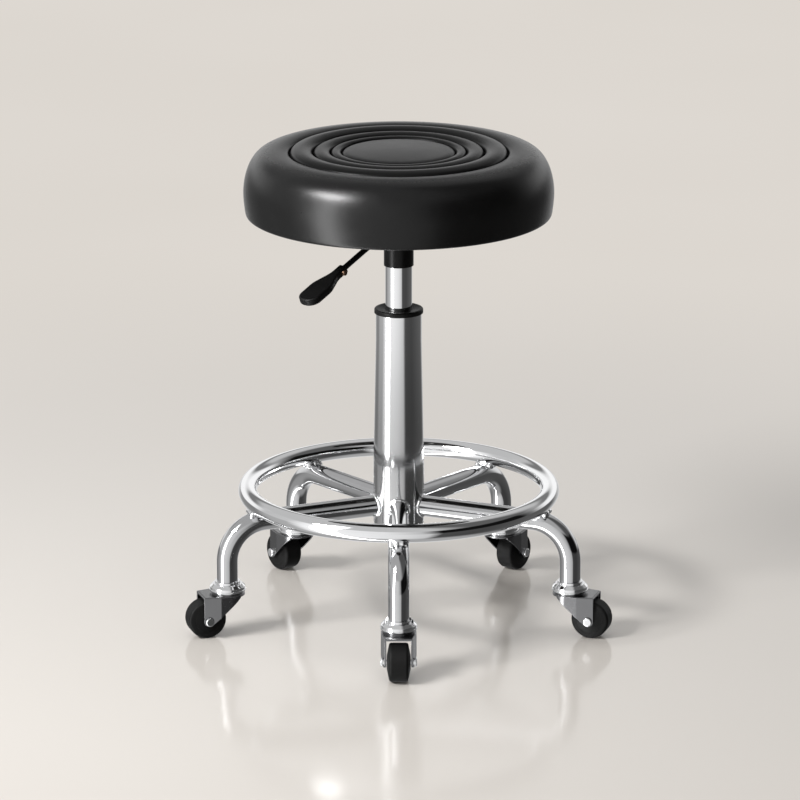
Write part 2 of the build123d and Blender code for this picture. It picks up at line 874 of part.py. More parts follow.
with BuildPart() as seat_cover:
    with BuildSketch(Plane.XZ):
        with BuildLine():
            disc_top = groove_height + disc_rise
            disc_edge = TangentArc(
                (disc_radius - disc_round, disc_top), (disc_radius, groove_height), tangent=(1, 0)
            )
            groove_radii = (disc_radius, *roll_radii)
            for inner, outer in zip(groove_radii, groove_radii[1:]):
                crown = groove_height + roll_fullness * (outer - inner)
                ThreePointArc(
                    (inner, groove_height), ((inner + outer) / 2, crown), (outer, groove_height)
                )
            margin_middle = (groove_radii[-1] + shoulder_reach) / 2
            ThreePointArc(
                (groove_radii[-1], groove_height),
                (margin_middle, groove_height + margin_rise),
                (shoulder_reach, shoulder_top),
            )
            EllipticalCenterArc(
                (shoulder_reach, widest_height),
                seat_shoulder_width,
                shoulder_top - widest_height,
                start_angle=0,
                arc_size=90,
            )
            foot = CenterArc(
                (foot_radius - seat_foot_round, plate_top + seat_foot_round), seat_foot_round, -90, 90
            )
            side_middle = (widest_height + plate_top + seat_foot_round) / 2
            ThreePointArc(
                foot @ 1,
                ((3 * seat_radius + foot_radius) / 4, side_middle),
                (seat_radius, widest_height),
            )
            Polyline(foot @ 0, (0, plate_top), (0, disc_top), disc_edge @ 0)
        make_face()
    revolve(axis=Axis.Z)
    revolve(cushion_core(cover_thickness), axis=Axis.Z, mode=Mode.SUBTRACT)
    with Locations((0, 0, plate_top)):
        Cylinder(fold_radius, 3 * cover_thickness, mode=Mode.SUBTRACT)
save(seat_cover.part, "seat_cover")

with BuildPart() as seat_foam:
    revolve(cushion_core(cover_thickness + press_gap), axis=Axis.Z)
    with Locations((0, 0, board_low)):
        Cylinder(
            board_radius + press_gap,
            board_thickness,
            align=(Align.CENTER, Align.CENTER, Align.MIN),
            mode=Mode.SUBTRACT,
        )
save(seat_foam.part, "seat_foam")

with BuildPart() as dust_cover:
    with BuildSketch(Plane.XY.offset(plate_top)):
        Circle(fold_radius - press_gap)
        with bolt_places:
            Circle(bolt_hole, mode=Mode.SUBTRACT)
    extrude(amount=cover_thickness)
save(dust_cover.part, "dust_cover")
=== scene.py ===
# %% [markdown]
# # A swivel stool on casters
# The stool has a round vinyl seat on a gas lift, a chrome column, five bent tube legs under a
# foot ring, and five small casters. Its hard pieces arrive as a fixed frame of metal and plastic
# parts. This lesson dresses them: it makes the soft seat, the felt and the welds, and gives every
# surface a finish.

# %% Load the frame
import json
import math

import bmesh
import bpy
from mathutils import Matrix, Vector


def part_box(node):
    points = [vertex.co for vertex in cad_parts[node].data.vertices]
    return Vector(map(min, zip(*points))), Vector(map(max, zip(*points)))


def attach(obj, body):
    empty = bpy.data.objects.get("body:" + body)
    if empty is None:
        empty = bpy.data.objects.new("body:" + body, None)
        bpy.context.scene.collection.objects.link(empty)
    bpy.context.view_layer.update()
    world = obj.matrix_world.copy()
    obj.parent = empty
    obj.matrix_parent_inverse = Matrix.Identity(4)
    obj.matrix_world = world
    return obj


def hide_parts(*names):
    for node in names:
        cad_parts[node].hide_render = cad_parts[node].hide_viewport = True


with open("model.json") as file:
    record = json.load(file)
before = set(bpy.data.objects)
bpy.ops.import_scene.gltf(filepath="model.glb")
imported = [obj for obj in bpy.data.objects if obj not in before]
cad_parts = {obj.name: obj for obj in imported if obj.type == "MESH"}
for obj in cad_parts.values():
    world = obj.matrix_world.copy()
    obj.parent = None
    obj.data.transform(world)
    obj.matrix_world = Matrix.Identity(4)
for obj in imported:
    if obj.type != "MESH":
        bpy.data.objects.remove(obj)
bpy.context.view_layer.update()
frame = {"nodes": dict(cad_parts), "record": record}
MM = 0.001
LEG_COUNT = 5
print("frame", len(frame["nodes"]), "pieces")

# %% [markdown]
# ## The eye
# The stool was looked at from the front and a little above, from far enough away that its upright
# lines stay parallel. A long lens at a long distance gives that. The camera aims almost at the axis
# of the column, a little below the middle of the stool's height.

# %% Camera
EYE_DISTANCE = 5.751
EYE_SHIFT = 0.0013
EYE_TILT = math.radians(15.8)
AIM_HEIGHT = 0.2375
FOCAL_LENGTH = 247.7
SENSOR_WIDTH = 36
FAR_LIMIT = 80
scene = bpy.context.scene
lens = bpy.data.cameras.new("eye")
lens.lens = FOCAL_LENGTH
lens.sensor_width = SENSOR_WIDTH
lens.clip_end = FAR_LIMIT
eye = bpy.data.objects.new("eye", lens)
eye.location = (
    EYE_SHIFT,
    -EYE_DISTANCE * math.cos(EYE_TILT),
    AIM_HEIGHT + EYE_DISTANCE * math.sin(EYE_TILT),
)
eye.rotation_euler = (math.pi / 2 - EYE_TILT, 0, 0)
scene.collection.objects.link(eye)
scene.camera = eye
scene.view_settings.view_transform = "Standard"
print("eye at", tuple(round(x, 3) for x in eye.location))

# %% [markdown]
# ## Arithmetic for shaders
# A finish is a sum of small patterns. Node links are tedious to write one by one, so a small class
# wraps an output socket and turns plain arithmetic on it into Math nodes. Every other node comes
# from one method, which takes the node's kind, its settings and the values or links of its sockets.


# %% Shader helpers
class Wire:
    """An output socket on which shader maths is written as arithmetic."""

    def __init__(self, board, socket):
        self.board = board
        self.socket = socket

    def __add__(self, other):
        return self.board.maths("ADD", self, other)

    def __radd__(self, other):
        return self.board.maths("ADD", other, self)

    def __sub__(self, other):
        return self.board.maths("SUBTRACT", self, other)

    def __rsub__(self, other):
        return self.board.maths("SUBTRACT", other, self)

    def __mul__(self, other):
        return self.board.maths("MULTIPLY", self, other)

    def __rmul__(self, other):
        return self.board.maths("MULTIPLY", other, self)

    def __truediv__(self, other):
        return self.board.maths("DIVIDE", self, other)


class Board:
    """A node tree to which nodes are added one call at a time."""

    def __init__(self, tree):
        self.tree = tree
        tree.nodes.clear()

    def add(self, kind, settings=None, values=None, out=0):
        node = self.tree.nodes.new("ShaderNode" + kind)
        for name, setting in (settings or {}).items():
            if name == "stops":
                self.set_stops(node.color_ramp, setting)
            else:
                setattr(node, name, setting)
        for name, value in (values or {}).items():
            if isinstance(value, Wire):
                self.tree.links.new(value.socket, node.inputs[name])
            else:
                node.inputs[name].default_value = value
        return Wire(self, node.outputs[out]) if node.outputs else None

    def set_stops(self, ramp, stops):
        while len(ramp.elements) < len(stops):
            ramp.elements.new(1.0)
        for element, (place, shade) in zip(ramp.elements, stops):
            element.position = place
            element.color = (shade, shade, shade, 1)

    def maths(self, operation, first, second):
        return self.add("Math", {"operation": operation}, {0: first, 1: second})

    def clamp(self, value):
        return self.add("Math", {"operation": "ADD", "use_clamp": True}, {0: value, 1: 0.0})

    def step(self, value, low, high):
        return self.add(
            "MapRange",
            {"interpolation_type": "SMOOTHSTEP"},
            {"Value": value, "From Min": low, "From Max": high},
        )

    def mix(self, share, first, second):
        return self.add("Mix", {"data_type": "RGBA"}, {0: share, 6: first, 7: second}, out=2)

    def place(self):
        return self.add("TexCoord", out="Object")

    def noise(self, place, scale, detail=3.0, roughness=0.55):
        values = {"Vector": place, "Scale": scale, "Detail": detail, "Roughness": roughness}
        return self.add("TexNoise", {}, values)

    def cells(self, place, scale, feature="F1"):
        return self.add("TexVoronoi", {"feature": feature}, {"Vector": place, "Scale": scale})

    def bump(self, height, strength, distance, normal=None):
        values = {"Height": height, "Strength": strength, "Distance": distance}
        if normal is not None:
            values["Normal"] = normal
        return self.add("Bump", {}, values)

    def rounded_edges(self, radius):
        return self.add("Bevel", {"samples": 6}, {"Radius": radius})


def new_finish(name):
    material = bpy.data.materials.new(name)
    material.use_nodes = True
    return material, Board(material.node_tree)


def set_surface(board, values):
    shader = board.add("BsdfPrincipled", {}, values)
    board.add("OutputMaterial", {}, {"Surface": shader})


def grey(level, warmth=0.0):
    return (level * (1 + warmth), level, level * (1 - warmth), 1)


print("shader helpers ready")

# %% [markdown]
# ## Plated steel
# The legs, ring, column and casters are plated tube and sheet. Chrome has hardly any colour of
# its own, so what tells it from a computer's mirror is small: polishing leaves a faint haze, hands
# leave smears, the tube is not perfectly straight, and no edge is sharp. The haze goes into the
# colour and the roughness, a very low bump bends the reflections, and a bevel node rounds the edges
# that the frame leaves sharp. The column was drawn and not polished as far, so it mirrors more
# softly, and its colour is painted greyer towards its foot: painted shade, standing in for the
# shaded floor it mirrors there. The legs get a darker tint as painted shade for the shaded floor
# that they mirror low down, and the pressed forks have a satin plating that is darkened further
# with painted shade.

# %% Plated finishes
# Painted shade: between these heights the colour is greyed towards the column's foot, for the
# shaded floor it mirrors.
FOOT_SHADE_TOP = 0.36
FOOT_SHADE_FULL = 0.18
FOOT_SHADE_GREY = grey(0.40)
PIT_GREY = grey(0.45)
RIPPLE_DEPTH = 0.6 * MM
TUBE_EDGE = 0.6 * MM
SHEET_EDGE = 0.8 * MM


def make_plated(name, dark, light, roughness, edge_radius, ripple, film=0.0):
    material, board = new_finish(name)
    place = board.place()
    level = board.add("SeparateXYZ", {}, {0: place}, out="Z")
    # film sets how far the colour is greyed towards the foot: painted shade, used only on the
    # column.
    painted_foot_shade = board.step(level, FOOT_SHADE_TOP, FOOT_SHADE_FULL) * film
    haze = board.noise(place, 16, 3)
    smear = board.noise(place, 95, 5, 0.65)
    pits = board.step(board.noise(place, 900, 2), 0.7, 0.82)
    tint = board.mix(painted_foot_shade, board.mix(haze, dark, light), FOOT_SHADE_GREY)
    edges = board.rounded_edges(edge_radius)
    normal = board.bump(haze + 0.2 * smear, ripple, RIPPLE_DEPTH, edges)
    set_surface(
        board,
        {
            "Base Color": board.mix(pits * 0.25, tint, PIT_GREY),
            "Metallic": 1.0,
            "Roughness": board.clamp(roughness + 0.05 * smear * haze + 0.15 * pits),
            "Normal": normal,
        },
    )
    return material


BRIGHT = (0.86, 0.865, 0.875, 1), (0.94, 0.94, 0.945, 1)
# The legs' tint is darker as painted shade, for the shaded floor they mirror low down.
LEG_PAINTED_SHADE = (0.56, 0.565, 0.575, 1), (0.70, 0.70, 0.705, 1)
# The forks' satin tint is darkened further with painted shade, for the shaded floor near them.
SATIN_AND_PAINTED_SHADE = (0.21, 0.21, 0.215, 1), (0.27, 0.27, 0.275, 1)
chrome = make_plated(
    "polished_chrome", *BRIGHT, roughness=0.03, edge_radius=TUBE_EDGE, ripple=0.08
)
# The legs' chrome is a darker copy of the bright chrome: painted shade.
leg_chrome = make_plated(
    "leg_chrome_painted_shade", *LEG_PAINTED_SHADE, roughness=0.05, edge_radius=TUBE_EDGE, ripple=0.10
)
# The column's film is painted shade, greying its colour towards the foot.
column_chrome = make_plated(
    "drawn_chrome", *BRIGHT, roughness=0.11, edge_radius=TUBE_EDGE, ripple=0.05, film=0.6
)
# The forks are satin plated, and their tint is darkened further as painted shade.
fork_plating = make_plated(
    "satin_plating_and_painted_shade", *SATIN_AND_PAINTED_SHADE, roughness=0.20, edge_radius=SHEET_EDGE, ripple=0.08
)
print("finishes", chrome.name, leg_chrome.name, column_chrome.name, fork_plating.name)

# %% [markdown]
# ## Bare steel and bronze
# The screws, the pins and the bearing under the lift are turned steel that was never plated. Their
# fine lathe marks are too small to model, so a stretched noise gives a brushed roughness. The stud
# on the lever's neck is a dull brown bronze with a darker film in patches.


# %% Steel and bronze finishes
def make_turned_metal(name, dark, light, roughness):
    material, board = new_finish(name)
    place = board.place()
    lines = board.add("Mapping", {}, {"Vector": place, "Scale": (60, 60, 2400)})
    marks = board.noise(lines, 1.0, 2)
    film = board.noise(place, 220, 4)
    normal = board.bump(marks, 0.12, 0.0002, board.rounded_edges(0.0003))
    set_surface(
        board,
        {
            "Base Color": board.mix(film, dark, light),
            "Metallic": 1.0,
            "Roughness": board.clamp(roughness + 0.18 * marks - 0.1 * film),
            "Normal": normal,
        },
    )
    return material


STEEL = grey(0.38), grey(0.60)
BRONZE = (0.13, 0.08, 0.055, 1), (0.34, 0.21, 0.14, 1)
turned_steel = make_turned_metal("turned_steel", *STEEL, roughness=0.28)
dull_bronze = make_turned_metal("dull_bronze", *BRONZE, roughness=0.34)
print("finishes", turned_steel.name, dull_bronze.name)

# %% [markdown]
# ## Black paint, plastic and rubber
# Three black surfaces sit side by side and differ only in how they break a highlight. Powder coat
# has a soft orange peel. Moulded plastic has a spark-eroded grain, finer and duller. Tyre rubber is
# duller still, with greyish dust that it picks up from floors. One helper takes the grain's size
# and depth, so the difference between them is easy to read.

# %% Black hard finishes
BLACK = grey(0.004)
DUST = grey(0.12, 0.06)
BLACK_SHINE = 0.18


def make_black(name, grain, depth, gloss, dust, edge_radius):
    material, board = new_finish(name)
    place = board.place()
    patches = board.noise(place, 45, 4)
    skin = board.noise(place, grain, 2)
    specks = board.cells(place, grain * 0.7)
    film = board.step(patches, 0.45, 0.8) * dust
    normal = board.bump(skin + 0.5 * specks, depth, 0.0003, board.rounded_edges(edge_radius))
    set_surface(
        board,
        {
            "Base Color": board.mix(film, BLACK, DUST),
            "Roughness": board.clamp(gloss + 0.16 * patches + 0.06 * skin + 0.5 * film),
            "Specular IOR Level": BLACK_SHINE,
            "Normal": normal,
        },
    )
    return material


powder_coat = make_black(
    "black_powder_coat", grain=620, depth=0.10, gloss=0.20, dust=0.02, edge_radius=0.4 * MM
)
moulded_plastic = make_black(
    "moulded_black_plastic", grain=1900, depth=0.16, gloss=0.34, dust=0.02, edge_radius=0.5 * MM
)
tyre_rubber = make_black(
    "tyre_rubber", grain=1500, depth=0.22, gloss=0.46, dust=0.03, edge_radius=0.6 * MM
)
print("finishes", powder_coat.name, moulded_plastic.name, tyre_rubber.name)

# %% [markdown]
# ## Vinyl
# The seat is covered in smooth black vinyl. Close up it has a pressed grain of rounded cells with
# fine creases between them, about a millimetre across. Sitting wears the shine off the top, so a
# duller skin is mixed in there. The sewn seams are painted darker, as painted shade in their
# grooves. The grain is read from Object coordinates, so it has the same size everywhere on the
# seat, and the worn top and the seams are found by their distance from the axis.

# %% Vinyl finish
SEAM_RADII = [radius * MM for radius in (59, 70.4, 88.7, 113)]
WORN_EDGE = 150 * MM
WORN_FULL = 118 * MM
# Painted shade: within these distances of a seam the vinyl's colour is darkened, for the shade in
# its groove.
SEAM_SHADE_EDGE = 1.5 * MM
SEAM_SHADE_FULL = 0.6 * MM
FRESH_SHINE = 0.33
WORN_SHINE = 0.11


def make_vinyl(name):
    material, board = new_finish(name)
    place = board.place()
    warp = board.noise(place, 420, 2)
    creases = board.cells(place, 1050, "DISTANCE_TO_EDGE")
    grain = board.step(creases, 0.0, 0.22) + 0.35 * warp
    waves = board.noise(place, 22, 3)
    patches = board.noise(place, 75, 4)
    flat = board.add("VectorMath", {"operation": "MULTIPLY"}, {0: place, 1: (1, 1, 0)})
    reach = board.add("VectorMath", {"operation": "LENGTH"}, {0: flat}, out="Value")
    worn = board.step(reach, WORN_EDGE, WORN_FULL)
    # This mask darkens the colour along each seam as painted shade in the grooves, and also
    # roughens them.
    seam_shade_mask = 0
    for radius in SEAM_RADII:
        away = board.maths("ABSOLUTE", reach - radius, 0.0)
        seam_shade_mask = board.step(away, SEAM_SHADE_EDGE, SEAM_SHADE_FULL) + seam_shade_mask
    normal = board.bump(waves, 0.05, 0.004, board.bump(grain, 0.10, 0.0002))
    tone = board.mix(patches, grey(0.004), grey(0.0065))
    look = {
        "Base Color": board.mix(seam_shade_mask, tone, grey(0.002)),
        "Roughness": board.clamp(0.23 + 0.06 * patches + 0.04 * worn + 0.45 * seam_shade_mask),
        "Normal": normal,
    }
    fresh_skin = board.add("BsdfPrincipled", {}, {**look, "Specular IOR Level": FRESH_SHINE})
    worn_skin = board.add("BsdfPrincipled", {}, {**look, "Specular IOR Level": WORN_SHINE})
    surface = board.add("MixShader", {}, {0: worn, 1: fresh_skin, 2: worn_skin})
    board.add("OutputMaterial", {}, {"Surface": surface})
    return material


black_vinyl = make_vinyl("black_vinyl")
print("finish", black_vinyl.name)

# %% [markdown]
# ## Felt, foam and plywood
# Underneath, a disc of black felt hides the board. Felt is a mat of short fibres: a stretched
# noise turned two ways gives the fibres, and a sheen lifts its edges. The board's plies and the
# foam stay inside the seat, and still get a finish, in case a section is cut through it.


# %% Felt, foam and plywood finishes
def make_felt(name):
    material, board = new_finish(name)
    place = board.place()
    along = board.add("Mapping", {}, {"Vector": place, "Scale": (2600, 320, 400)})
    across = board.add(
        "Mapping", {}, {"Vector": place, "Rotation": (0, 0, 1.1), "Scale": (2400, 300, 400)}
    )
    fibres = board.noise(along, 1.0, 3) * 0.5 + board.noise(across, 1.0, 3) * 0.5
    tufts = board.noise(place, 260, 4)
    set_surface(
        board,
        {
            "Base Color": board.mix(board.step(fibres, 0.4, 0.65), grey(0.014), grey(0.045)),
            "Roughness": board.clamp(0.86 + 0.14 * tufts),
            "Sheen Weight": 0.25,
            "Sheen Roughness": 0.5,
            "Normal": board.bump(fibres + tufts, 0.5, 0.0004),
        },
    )
    return material


def make_plywood(name):
    material, board = new_finish(name)
    place = board.place()
    plies = board.add("Mapping", {}, {"Vector": place, "Scale": (9, 70, 900)})
    grain = board.noise(plies, 1.0, 5)
    set_surface(
        board,
        {
            "Base Color": board.mix(grain, (0.33, 0.21, 0.11, 1), (0.62, 0.45, 0.27, 1)),
            "Roughness": board.clamp(0.55 + 0.2 * grain),
            "Normal": board.bump(grain, 0.2, 0.0003),
        },
    )
    return material


def make_foam(name):
    material, board = new_finish(name)
    place = board.place()
    pores = board.cells(place, 700)
    set_surface(
        board,
        {
            "Base Color": board.mix(pores, (0.45, 0.41, 0.31, 1), (0.8, 0.76, 0.64, 1)),
            "Roughness": board.clamp(0.8 + 0.15 * pores),
            "Normal": board.bump(pores, 0.5, 0.0006),
        },
    )
    return material


black_felt = make_felt("black_felt")
plywood = make_plywood("plywood")
cut_foam = make_foam("cut_foam")
print("finishes", black_felt.name, plywood.name, cut_foam.name)

# %% [markdown]
# ## Dressing the frame
# Each frame piece names a slot in the record, so one table from slot to finish dresses nearly all
# of them. The column, legs and forks are plated too, but have their own finish.

# %% Finishes on the frame's pieces
finishes = {
    "chrome": chrome,
    "plain_steel": turned_steel,
    "black_paint": powder_coat,
    "black_plastic": moulded_plastic,
    "tyre_rubber": tyre_rubber,
    "black_vinyl": black_vinyl,
    "foam": cut_foam,
    "felt": black_felt,
    "plywood": plywood,
    "bronze_screw": dull_bronze,
}
own_finishes = {"column": column_chrome}
for number in range(1, LEG_COUNT + 1):
    own_finishes[f"leg_{number}"] = leg_chrome
    own_finishes[f"caster_fork_{number}"] = fork_plating
for row in frame["record"]["subparts"]:
    for slot in frame["nodes"][row["node"]].material_slots:
        slot.material = own_finishes.get(row["node"], finishes[row["material_slot"]])

# %% [markdown]
# ## The seat cushion
# The seat is foam under one vinyl cover. Rings are sewn down through it, and the padding swells
# between the seams: a flat disc in the middle, three rolls that grow outwards, a wide margin and a
# full shoulder. A lathe gives the start: a profile is drawn once and spun round the axis. It ends
# in a pocket for the board, so the cushion is one closed form. Then a cloth simulation blows the
# cover up a little while the seams, the pocket and the underside are held, which rounds the rolls
# the way padding does. How far a point may move is capped, so the seat keeps its size.

# %% Seat profile
cover_low, cover_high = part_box("seat_cover")
board_low, board_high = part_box("seat_board")
SEAM_HEIGHT = 503.458 * MM
SEAM_DEPTH = 4 * MM
SEAM_HALF = 1.1 * MM
SEAM_SHARES = ((-0.5, 0.6), (0, 1), (0.5, 0.6))
ROLL_RISE = [rise * MM for rise in (2.7, 4.0, 5.2)]
ROLL_SHARES = (0, 0.05, 0.17, 0.34, 0.5, 0.66, 0.83, 0.95, 1)
DISC = [(0, 3.4), (6, 3.4), (18, 3.2), (30, 2.8), (42, 2.2), (50, 1.7), (54, 1.3), (57.9, 0)]
MARGIN = [(114.1, 0), (116, 1.2), (119, 1.8), (125, 2.0), (131, 1.6)]
SHOULDER_REACH = 137.8 * MM
SHOULDER_RISE = 0.8 * MM
SHOULDER_TURNS = (90, 78, 66, 54, 42, 30, 18, 8, 0)
WIDEST_HEIGHT = 460.758 * MM
SEAT_RADIUS = cover_high.x
FOOT_RADIUS = 159 * MM
FOLD_RADIUS = 131 * MM
LOWER_SIDE = [(161.0, 15), (160.2, 8.5)]
UNDERSIDE = [(159, 3.4), (158.3, 1.2), (155.8, 0.2), (150, 0.2), (142, 0.4), (131, 0.5), (130.3, 1)]
POCKET_GAP = 0.1 * MM
POCKET_CORNER = 0.4 * MM
POCKET_RINGS = (110, 70, 30, 0)
SWELL = 0.6 * MM
SPIN_STEPS = 144


def seam_points(radius):
    return [
        (radius + side * SEAM_HALF, SEAM_HEIGHT - deep * SEAM_DEPTH) for side, deep in SEAM_SHARES
    ]


def pocket_points():
    wall = board_high.x + POCKET_GAP
    low, high = board_low.z - POCKET_GAP, board_high.z + POCKET_GAP
    inner = wall - POCKET_CORNER
    points = [(FOLD_RADIUS, low), (inner, low), (wall, low), (wall, low + POCKET_CORNER)]
    points += [(wall, high - POCKET_CORNER), (wall, high), (inner, high)]
    return points + [(reach * MM, high) for reach in POCKET_RINGS]


def seat_profile():
    points = [(radius * MM, SEAM_HEIGHT + rise * MM) for radius, rise in DISC]
    for inner, outer, rise in zip(SEAM_RADII, SEAM_RADII[1:], ROLL_RISE):
        points += seam_points(inner)
        start, width = inner + SEAM_HALF, outer - inner - 2 * SEAM_HALF
        for share in ROLL_SHARES:
            bulge = math.sqrt(1 - (2 * share - 1) ** 2)
            points.append((start + share * width, SEAM_HEIGHT + (rise - SWELL) * bulge))
    points += seam_points(SEAM_RADII[-1])
    points += [(radius * MM, SEAM_HEIGHT + rise * MM) for radius, rise in MARGIN]
    width = SEAT_RADIUS - SHOULDER_REACH - SWELL
    rise = SEAM_HEIGHT + SHOULDER_RISE - WIDEST_HEIGHT
    for turn in SHOULDER_TURNS:
        angle = math.radians(turn)
        points.append(
            (SHOULDER_REACH + width * math.cos(angle), WIDEST_HEIGHT + rise * math.sin(angle))
        )
    low = cover_low.z
    points += [(radius * MM - SWELL, low + rise * MM) for radius, rise in LOWER_SIDE]
    points += [(radius * MM, low + rise * MM) for radius, rise in UNDERSIDE]
    return points + pocket_points()


profile = seat_profile()
print("seat profile", len(profile), "points, radius", round(SEAT_RADIUS, 4))


# %% Seat spin
def spin_profile(points, steps):
    shape = bmesh.new()
    ring = [shape.verts.new((radius, 0, height)) for radius, height in points]
    edges = [shape.edges.new(pair) for pair in zip(ring, ring[1:])]
    bmesh.ops.spin(
        shape,
        geom=ring + edges,
        axis=(0, 0, 1),
        cent=(0, 0, 0),
        angle=math.tau,
        steps=steps,
        use_merge=True,
    )
    bmesh.ops.remove_doubles(shape, verts=shape.verts, dist=1e-6)
    bmesh.ops.recalc_face_normals(shape, faces=shape.faces)
    return shape


def make_piece(name, shape, finish, smooth=True):
    mesh = bpy.data.meshes.new(name)
    for face in shape.faces:
        face.smooth = smooth
    shape.to_mesh(mesh)
    shape.free()
    mesh.materials.append(finish)
    piece = bpy.data.objects.new(name, mesh)
    scene.collection.objects.link(piece)
    return piece


seat_cushion = make_piece("seat_cushion", spin_profile(profile, SPIN_STEPS), black_vinyl)
print("seat spin", len(seat_cushion.data.vertices), "points")

# %% [markdown]
# The cover is now held at its seams, in the pocket and along its underside, and cloth pressure
# swells the rest. A point that moved further than the cap is pulled back to it.

# %% Seat swell
PRESSURE = 9.0
SWELL_FRAMES = 20
SWELL_CAP = 1.2 * MM
HELD_RIM = 4 * MM
HELD_POCKET = 1 * MM
HELD_DISC = 56 * MM
HELD_SEAM = 0.7 * MM


def is_sewn(spot):
    reach = Vector((spot.x, spot.y)).length
    if spot.z < WIDEST_HEIGHT:
        return spot.z < cover_low.z + HELD_RIM or reach < board_high.x + HELD_POCKET
    return reach < HELD_DISC or any(abs(reach - radius) < HELD_SEAM for radius in SEAM_RADII)


def swell(piece):
    start = [vertex.co.copy() for vertex in piece.data.vertices]
    held = [index for index, spot in enumerate(start) if is_sewn(spot)]
    piece.vertex_groups.new(name="sewn").add(held, 1.0, "REPLACE")
    cloth = piece.modifiers.new("swell", "CLOTH")
    cloth.settings.vertex_group_mass = "sewn"
    cloth.settings.use_pressure = True
    cloth.settings.uniform_pressure_force = PRESSURE
    cloth.settings.effector_weights.gravity = 0
    cloth.point_cache.frame_end = SWELL_FRAMES
    for number in range(1, SWELL_FRAMES + 1):
        scene.frame_set(number)
    swollen = piece.evaluated_get(bpy.context.evaluated_depsgraph_get()).data.vertices
    moves = [vertex.co - spot for vertex, spot in zip(swollen, start)]
    piece.modifiers.remove(cloth)
    scene.frame_set(1)
    for vertex, spot, move in zip(piece.data.vertices, start, moves):
        vertex.co = spot + move * min(1.0, SWELL_CAP / max(move.length, 1e-9))
    piece.vertex_groups.clear()
    return max(move.length for move in moves)


print("seat swell, largest move before the cap", round(swell(seat_cushion) / MM, 2), "mm")

# %% [markdown]
# Under the seat the cover is drawn over the board's edge and stapled, so it gathers into small
# pleats. Moving the underside's points up and down in step round the rim makes them.

# %% Seat pleats
PLEATS = 48
PLEAT_DEPTH = 0.9 * MM
PLEAT_TOP = 0.8 * MM
PLEAT_MARGIN = 4 * MM
PLEAT_DRIFT = 0.8
DRIFTS_PER_TURN = 5


def add_pleats(piece):
    for vertex in piece.data.vertices:
        reach = Vector((vertex.co.x, vertex.co.y)).length
        if vertex.co.z < cover_low.z + PLEAT_TOP and reach < FOOT_RADIUS - PLEAT_MARGIN:
            turn = math.atan2(vertex.co.y, vertex.co.x)
            share = (FOOT_RADIUS - reach) / (FOOT_RADIUS - FOLD_RADIUS)
            drift = PLEAT_DRIFT * math.sin(DRIFTS_PER_TURN * turn)
            wave = 0.5 + 0.5 * math.cos(PLEATS * turn + drift)
            vertex.co.z -= PLEAT_DEPTH * share * wave


add_pleats(seat_cushion)
rounding = seat_cushion.modifiers.new("rounding", "SUBSURF")
rounding.levels = 1
rounding.render_levels = 1
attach(seat_cushion, "seat")
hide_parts("seat_cover", "seat_foam")
print("seat cushion", PLEATS, "pleats under its rim")

# %% [markdown]
# ## The felt and its staples
# A disc of felt covers the board and the cover's cut edge, and staples hold it. It hangs a little
# lower outside the seat plate, where it passes over the folded vinyl. A circle is inset a few
# times for its rings, each ring is set to its height, and the sheet gets its thickness last.

# %% Felt
FELT_RADIUS = 138 * MM
FELT_THICKNESS = 0.5 * MM
FELT_SEGMENTS = 96
FELT_RINGS = (5, 5, 8, 12, 20, 30)
FELT_LIFT = 0.8 * MM
FELT_DROP = 1.9 * MM
DROP_START = 108 * MM
DROP_WIDTH = 20 * MM
felt_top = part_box("dust_cover")[0].z


def make_felt_sheet():
    shape = bmesh.new()
    bmesh.ops.create_circle(shape, cap_ends=True, segments=FELT_SEGMENTS, radius=FELT_RADIUS)
    for width in FELT_RINGS:
        inner = max(shape.faces, key=lambda face: face.calc_area())
        bmesh.ops.inset_region(
            shape, faces=[inner], thickness=width * MM, use_boundary=True, use_even_offset=True
        )
    for vertex in shape.verts:
        reach = vertex.co.length
        drop = FELT_DROP * min(1.0, max(0.0, (reach - DROP_START) / DROP_WIDTH))
        vertex.co.z = felt_top + FELT_LIFT - drop
    return make_piece("seat_felt", shape, black_felt)


seat_felt = make_felt_sheet()
thickness = seat_felt.modifiers.new("thickness", "SOLIDIFY")
thickness.thickness = FELT_THICKNESS
thickness.offset = 0
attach(seat_felt, "seat")
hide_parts("dust_cover")
print("felt disc", round(2 * FELT_RADIUS, 3), "m across")

# %% Staples
STAPLE_COUNT = 32
STAPLE_CIRCLE = 134 * MM
STAPLE_SIZE = Vector((1.1, 10, 0.6)) * MM
STAPLE_DROP = 1.45 * MM
STAPLE_BEVEL = 0.2 * MM
UNEVEN_SPACING = 0.35
UNEVEN_TILT = 0.16


def make_staples():
    shape = bmesh.new()
    low = felt_top - STAPLE_DROP
    for number in range(STAPLE_COUNT):
        turn = math.tau * (number + UNEVEN_SPACING * math.sin(3.7 * number)) / STAPLE_COUNT
        spot = Matrix.Rotation(turn, 4, "Z") @ Matrix.Translation((STAPLE_CIRCLE, 0, low))
        tilt = Matrix.Rotation(UNEVEN_TILT * math.sin(2.3 * number), 4, "Z")
        crown = bmesh.ops.create_cube(
            shape, size=1, matrix=spot @ tilt @ Matrix.Diagonal((*STAPLE_SIZE, 1))
        )
        edges = {edge for vertex in crown["verts"] for edge in vertex.link_edges}
        bmesh.ops.bevel(
            shape,
            geom=list(edges),
            offset=STAPLE_BEVEL,
            offset_type="OFFSET",
            affect="EDGES",
            segments=1,
            profile=0.5,
            material=-1,
        )
    return make_piece("felt_staples", shape, turned_steel, smooth=False)


felt_staples = make_staples()
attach(felt_staples, "seat")
print("staples", STAPLE_COUNT)

# %% [markdown]
# ## Welds
# The foot ring rests on each leg through two welds, and the legs are welded to the column. A weld
# bead is a row of small frozen pools, each overlapping the last. Spheres in a row are fused by a
# voxel remesh and relaxed, which leaves the ripple and closes the gap under the ring.

